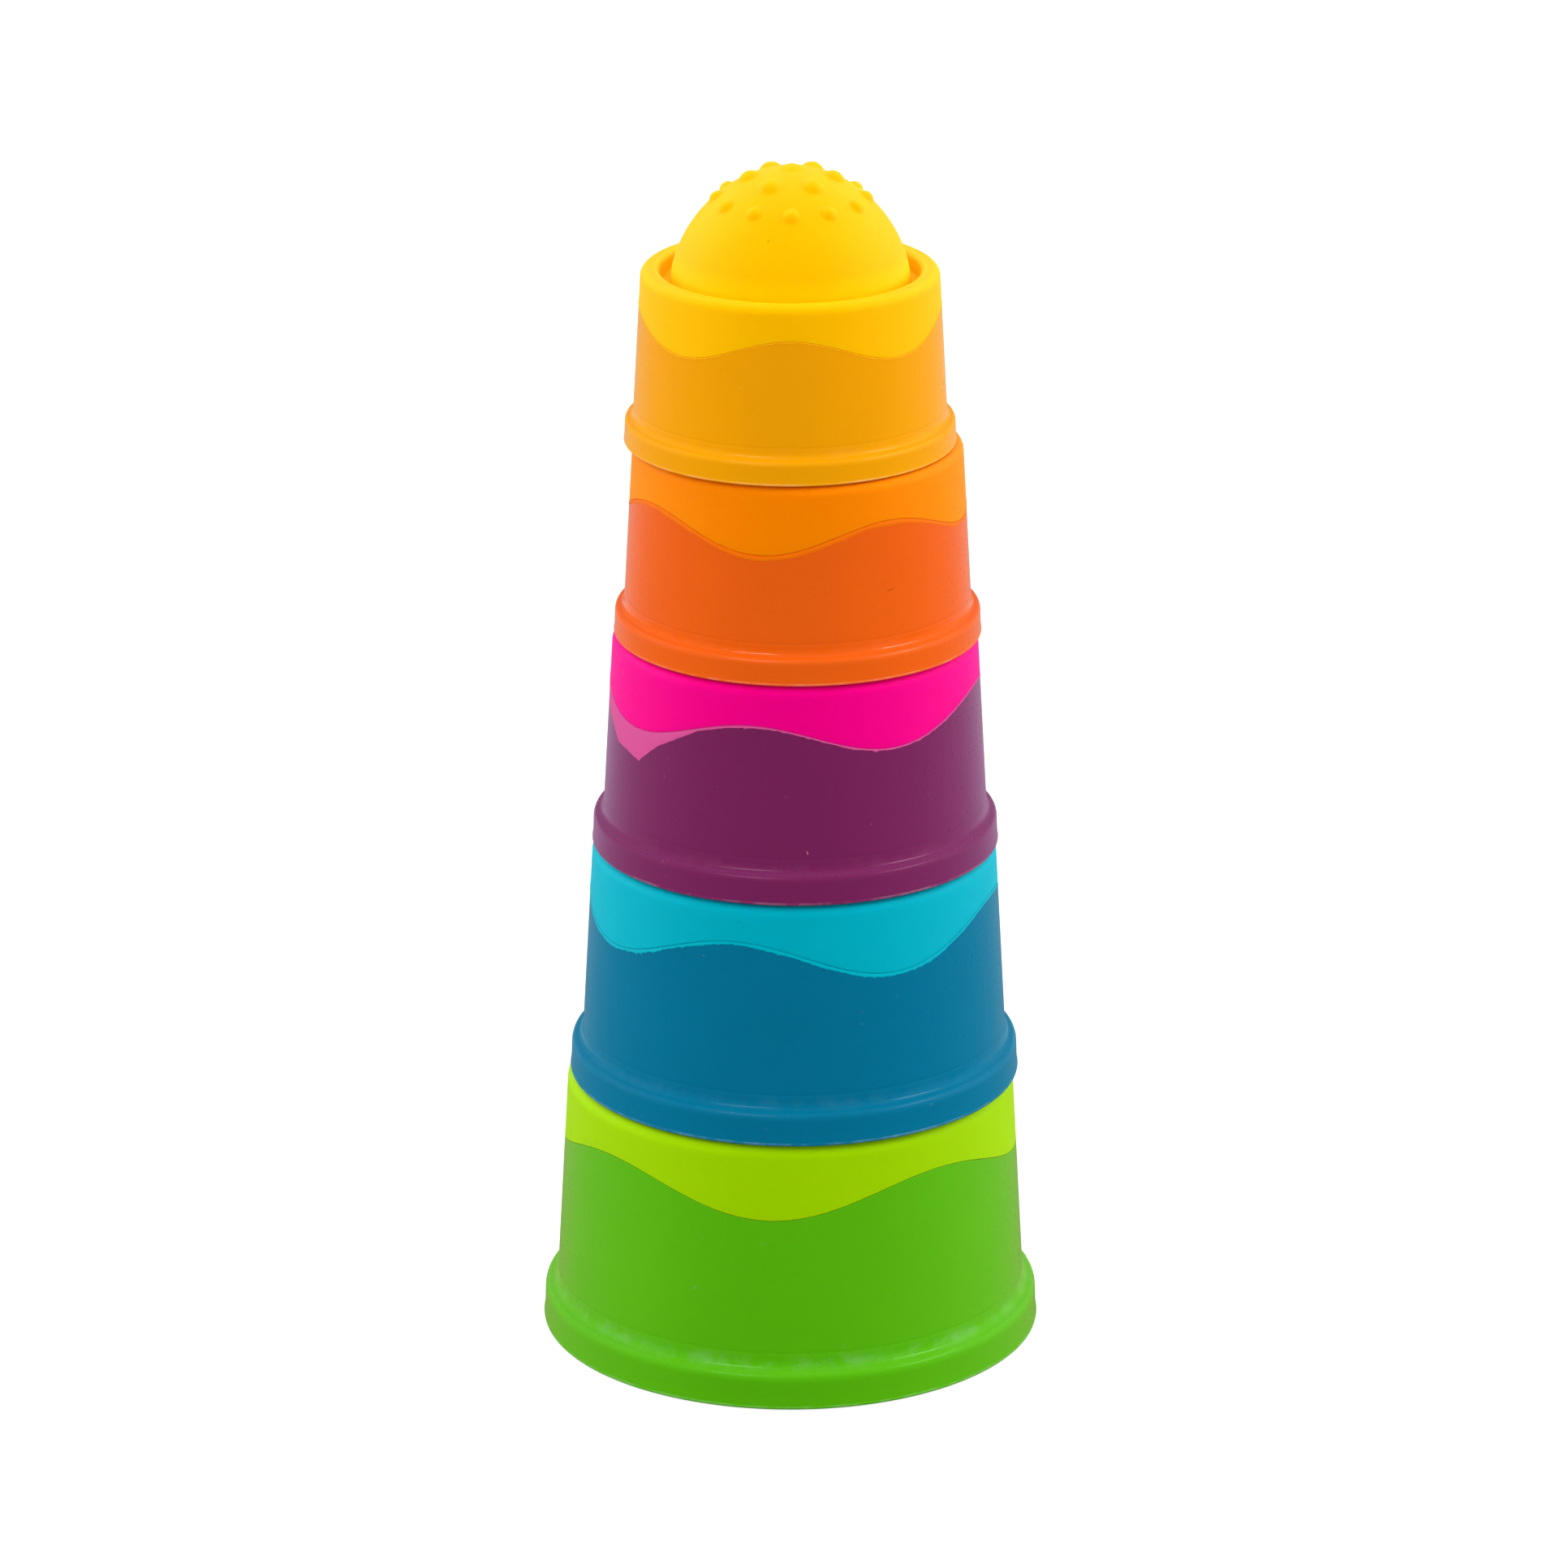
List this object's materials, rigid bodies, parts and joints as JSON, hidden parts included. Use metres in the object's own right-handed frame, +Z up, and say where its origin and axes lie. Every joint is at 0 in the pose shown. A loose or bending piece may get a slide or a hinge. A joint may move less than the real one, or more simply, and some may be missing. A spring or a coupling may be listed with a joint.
{
  "type": "stacking cup tower",
  "caption": "Tower of round tapered cups stacked open end down, each a hard shell with a wavy-edged silicone top and a push bubble with raised bumps",
  "frame": {"origin": "middle of the biggest cup's open bottom rim, on the surface the tower stands on", "axes": "+Z up along the tower, -Y the front, where the top cup's wavy edge is highest, +X to its right"},
  "size_m": [0.108, 0.108, 0.2584],
  "materials": {
    "green_plastic": "satin moulded plastic, finely grained",
    "green_silicone": "matt silicone",
    "blue_plastic": "satin moulded plastic, finely grained",
    "blue_silicone": "matt silicone",
    "purple_plastic": "satin moulded plastic, finely grained",
    "purple_silicone": "matt silicone",
    "orange_plastic": "satin moulded plastic, finely grained",
    "orange_silicone": "matt silicone",
    "yellow_plastic": "satin moulded plastic, finely grained",
    "yellow_silicone": "matt silicone"
  },
  "bodies": {
    "green_cup": {"green_cup_shell": "green_plastic", "green_silicone_cap": "green_silicone", "green_bubble_wall": "green_silicone"},
    "green_bubble": {"green_bubble_crown": "green_silicone"},
    "blue_cup": {"blue_cup_shell": "blue_plastic", "blue_silicone_cap": "blue_silicone", "blue_bubble_wall": "blue_silicone"},
    "blue_bubble": {"blue_bubble_crown": "blue_silicone"},
    "purple_cup": {"purple_cup_shell": "purple_plastic", "purple_silicone_cap": "purple_silicone", "purple_bubble_wall": "purple_silicone"},
    "purple_bubble": {"purple_bubble_crown": "purple_silicone"},
    "orange_cup": {"orange_cup_shell": "orange_plastic", "orange_silicone_cap": "orange_silicone", "orange_bubble_wall": "orange_silicone"},
    "orange_bubble": {"orange_bubble_crown": "orange_silicone"},
    "yellow_cup": {"yellow_cup_shell": "yellow_plastic", "yellow_silicone_cap": "yellow_silicone", "yellow_bubble_wall": "yellow_silicone"},
    "yellow_bubble": {"yellow_bubble_crown": "yellow_silicone"}
  },
  "joints": [
    {"name": "blue_cup_lift", "type": "slide", "parent": "green_cup", "child": "blue_cup", "axis": [0, 0, 1], "range_m": [0, 0.0459]},
    {"name": "purple_cup_lift", "type": "slide", "parent": "blue_cup", "child": "purple_cup", "axis": [0, 0, 1], "range_m": [0, 0.0412]},
    {"name": "orange_cup_lift", "type": "slide", "parent": "purple_cup", "child": "orange_cup", "axis": [0, 0, 1], "range_m": [0, 0.037]},
    {"name": "yellow_cup_lift", "type": "slide", "parent": "orange_cup", "child": "yellow_cup", "axis": [0, 0, 1], "range_m": [0, 0.0332]},
    {"name": "green_bubble_press", "type": "slide", "parent": "green_cup", "child": "green_bubble", "axis": [0, 0, -1], "range_m": [0, 0.0459], "deforming": ["green_bubble_wall"]},
    {"name": "blue_bubble_press", "type": "slide", "parent": "blue_cup", "child": "blue_bubble", "axis": [0, 0, -1], "range_m": [0, 0.0412], "deforming": ["blue_bubble_wall"]},
    {"name": "purple_bubble_press", "type": "slide", "parent": "purple_cup", "child": "purple_bubble", "axis": [0, 0, -1], "range_m": [0, 0.037], "deforming": ["purple_bubble_wall"]},
    {"name": "orange_bubble_press", "type": "slide", "parent": "orange_cup", "child": "orange_bubble", "axis": [0, 0, -1], "range_m": [0, 0.0332], "deforming": ["orange_bubble_wall"]},
    {"name": "yellow_bubble_press", "type": "slide", "parent": "yellow_cup", "child": "yellow_bubble", "axis": [0, 0, -1], "range_m": [0, 0.0298], "deforming": ["yellow_bubble_wall"]}
  ]
}
